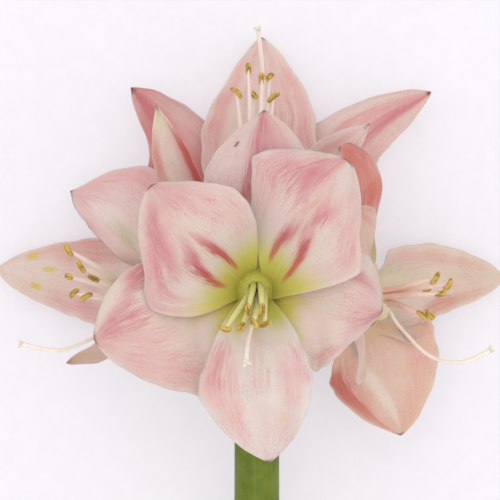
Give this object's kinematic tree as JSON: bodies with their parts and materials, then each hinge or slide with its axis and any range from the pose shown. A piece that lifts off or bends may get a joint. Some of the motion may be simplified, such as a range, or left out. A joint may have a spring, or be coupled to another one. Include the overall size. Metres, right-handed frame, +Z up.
{
  "type": "cut amaryllis",
  "caption": "Cut amaryllis lying on its back: a hollow green scape with an umbel of open pink and white flowers, each with tepals, stamens and a three-lobed style.",
  "frame": {"origin": "middle of the whole flower's box, on the surface that it lies on", "axes": "+Y along the scape from its cut end towards the flowers, +Z up from the surface, where the front flower opens, +X to the right seen from above with the flowers at the top"},
  "size_m": [0.3074, 0.5512, 0.2235],
  "materials": {
    "scape": "smooth waxy green stalk",
    "pedicel": "smooth green flower stalk, ovary and tube",
    "spathe": "dry papery bract",
    "tepal": "soft satin petal, cream veined with pink",
    "stamen": "pale filament with a powdery yellow anther",
    "style": "smooth ivory style"
  },
  "bodies": {
    "root": {"back_pedicel": "pedicel", "back_stamen_1": "stamen", "back_stamen_2": "stamen", "back_stamen_3": "stamen", "back_stamen_4": "stamen", "back_stamen_5": "stamen", "back_stamen_6": "stamen", "back_style": "style", "back_tepal_bottom": "tepal", "back_tepal_left": "tepal", "back_tepal_right": "tepal", "back_tepal_top": "tepal", "back_tepal_upper_left": "tepal", "back_tepal_upper_right": "tepal", "front_pedicel": "pedicel", "front_stamen_1": "stamen", "front_stamen_2": "stamen", "front_stamen_3": "stamen", "front_stamen_4": "stamen", "front_stamen_5": "stamen", "front_stamen_6": "stamen", "front_style": "style", "front_tepal_bottom": "tepal", "front_tepal_left": "tepal", "front_tepal_right": "tepal", "front_tepal_top": "tepal", "front_tepal_upper_left": "tepal", "front_tepal_upper_right": "tepal", "left_pedicel": "pedicel", "left_stamen_1": "stamen", "left_stamen_2": "stamen", "left_stamen_3": "stamen", "left_stamen_4": "stamen", "left_stamen_5": "stamen", "left_stamen_6": "stamen", "left_style": "style", "left_tepal_bottom": "tepal", "left_tepal_far": "tepal", "left_tepal_lower_far": "tepal", "left_tepal_lower_near": "tepal", "left_tepal_near": "tepal", "left_tepal_top": "tepal", "right_pedicel": "pedicel", "right_stamen_1": "stamen", "right_stamen_2": "stamen", "right_stamen_3": "stamen", "right_stamen_4": "stamen", "right_stamen_5": "stamen", "right_stamen_6": "stamen", "right_style": "style", "right_tepal_bottom": "tepal", "right_tepal_far": "tepal", "right_tepal_lower_far": "tepal", "right_tepal_lower_near": "tepal", "right_tepal_near": "tepal", "right_tepal_top": "tepal", "scape": "scape", "spathe_left": "spathe", "spathe_right": "spathe"}
  },
  "joints": []
}
